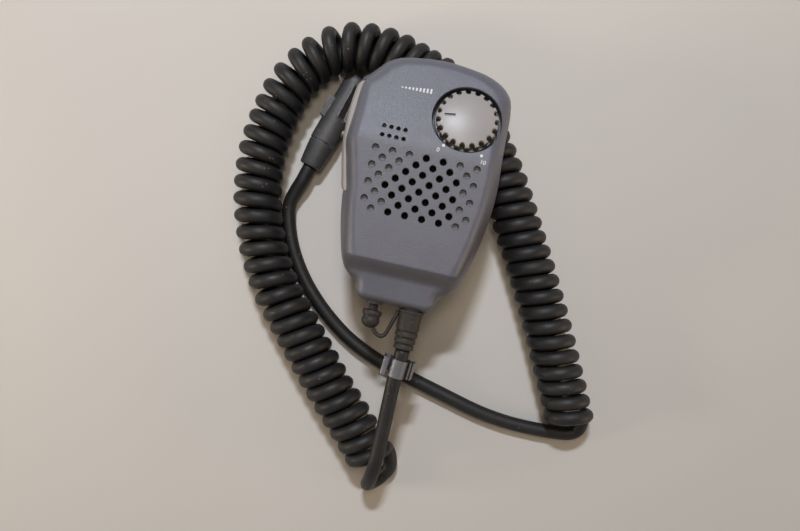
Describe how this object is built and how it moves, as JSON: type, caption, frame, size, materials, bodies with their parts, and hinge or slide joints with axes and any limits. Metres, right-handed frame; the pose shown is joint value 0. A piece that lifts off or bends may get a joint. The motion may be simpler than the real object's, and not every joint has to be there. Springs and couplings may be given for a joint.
{
  "type": "hand microphone",
  "caption": "Grey handheld speaker microphone with a volume knob, press-to-talk bar, swivelling spring clip, curly cord and a two-pin plug",
  "frame": {"origin": "on the surface that the microphone lies on, under the clip's swivel rivet, which is also the middle of the grille's hole lattice", "axes": "+X to the microphone's right, +Y towards its top edge with the keys, +Z out of its front"},
  "size_m": [0.1469, 0.1668, 0.0388],
  "materials": {
    "housing_plastic": "fine grained blue-grey ABS, lightly worn on the edges",
    "knob_plastic": "smooth light grey moulding",
    "bar_plastic": "smooth light warm grey moulding",
    "key_plastic": "dark grey moulding",
    "dark_parts": "black moulding",
    "board": "green solder resist",
    "screw_steel": "blackened screws",
    "speaker_frame": "pressed steel",
    "cloth": "black dust cloth",
    "cone_paper": "dark paper cone",
    "capsule_metal": "drawn can",
    "soft_rubber": "dull black rubber with a little dust",
    "cord_jacket": "black cord jacket, slightly dusty",
    "plug_rubber": "moulded on, dull",
    "clip_metal": "dull nickel plated sheet",
    "spring_steel": "spring wire",
    "pin_metal": "bright plated pins"
  },
  "bodies": {
    "case": {"front_case": "housing_plastic", "rear_case": "housing_plastic", "case_screws": "screw_steel", "circuit_board": "board", "speaker_basket": "speaker_frame", "speaker_cone": "cone_paper", "speaker_magnet": "speaker_frame", "speaker_cloth": "cloth", "mic_capsule": "capsule_metal", "mic_boot": "soft_rubber", "volume_pot": "speaker_frame", "ptt_switch": "dark_parts", "key_switches": "dark_parts", "key_board": "board", "lock_switch": "dark_parts", "earphone_socket": "dark_parts", "strain_relief": "soft_rubber", "clip_rivet": "clip_metal", "cord_clip": "clip_metal", "cord_lead": "cord_jacket", "cord_curl": "cord_jacket", "cord_tail": "cord_jacket", "plug_body": "plug_rubber", "plug_sleeve": "plug_rubber", "plug_pin_large": "pin_metal", "plug_pin_small": "pin_metal"},
    "knob": {"volume_knob": "knob_plastic", "pot_shaft": "speaker_frame"},
    "ptt": {"ptt_bar": "bar_plastic"},
    "left_key": {"key_left": "key_plastic"},
    "middle_key": {"key_middle": "key_plastic"},
    "right_key": {"key_right": "key_plastic"},
    "lock": {"lock_slider": "key_plastic"},
    "clip": {"clip_base": "clip_metal", "clip_pin": "clip_metal", "clip_spring": "spring_steel", "clip_washer": "clip_metal"},
    "jaw": {"clip_jaw": "clip_metal"},
    "cap": {"socket_cap": "soft_rubber", "cap_tether": "soft_rubber"}
  },
  "joints": [
    {"name": "volume_turn", "type": "hinge", "parent": "case", "child": "knob", "pos_m": [0.0104, 0.0256, 0.03559], "axis": [0, 0.2588, 0.9659], "range_deg": [-240, 60]},
    {"name": "ptt_press", "type": "slide", "parent": "case", "child": "ptt", "axis": [1, 0, 0], "range_m": [0, 0.0012], "stiffness_N_per_m": 500},
    {"name": "key_left_press", "type": "slide", "parent": "case", "child": "left_key", "axis": [0, -1, 0], "range_m": [0, 0.0005], "stiffness_N_per_m": 800},
    {"name": "key_middle_press", "type": "slide", "parent": "case", "child": "middle_key", "axis": [0, -1, 0], "range_m": [0, 0.0005], "stiffness_N_per_m": 800},
    {"name": "key_right_press", "type": "slide", "parent": "case", "child": "right_key", "axis": [0, -1, 0], "range_m": [0, 0.0005], "stiffness_N_per_m": 800},
    {"name": "lock_slide", "type": "slide", "parent": "case", "child": "lock", "axis": [1, 0, 0], "range_m": [0, 0.003]},
    {"name": "clip_swivel", "type": "hinge", "parent": "case", "child": "clip", "pos_m": [0, 0, 0.016], "axis": [0, 0, 1], "continuous": true},
    {"name": "clip_open", "type": "hinge", "parent": "clip", "child": "jaw", "pos_m": [0, 0.002, 0.008], "axis": [1, 0, 0], "range_deg": [0, 30], "stiffness_Nm_per_rad": 0.05, "springref_deg": -17.19, "deforming": ["clip_spring"]},
    {"name": "cap_pull", "type": "slide", "parent": "case", "child": "cap", "axis": [0, -1, 0], "range_m": [-0.0021, 0.012], "deforming": ["cap_tether"]}
  ]
}
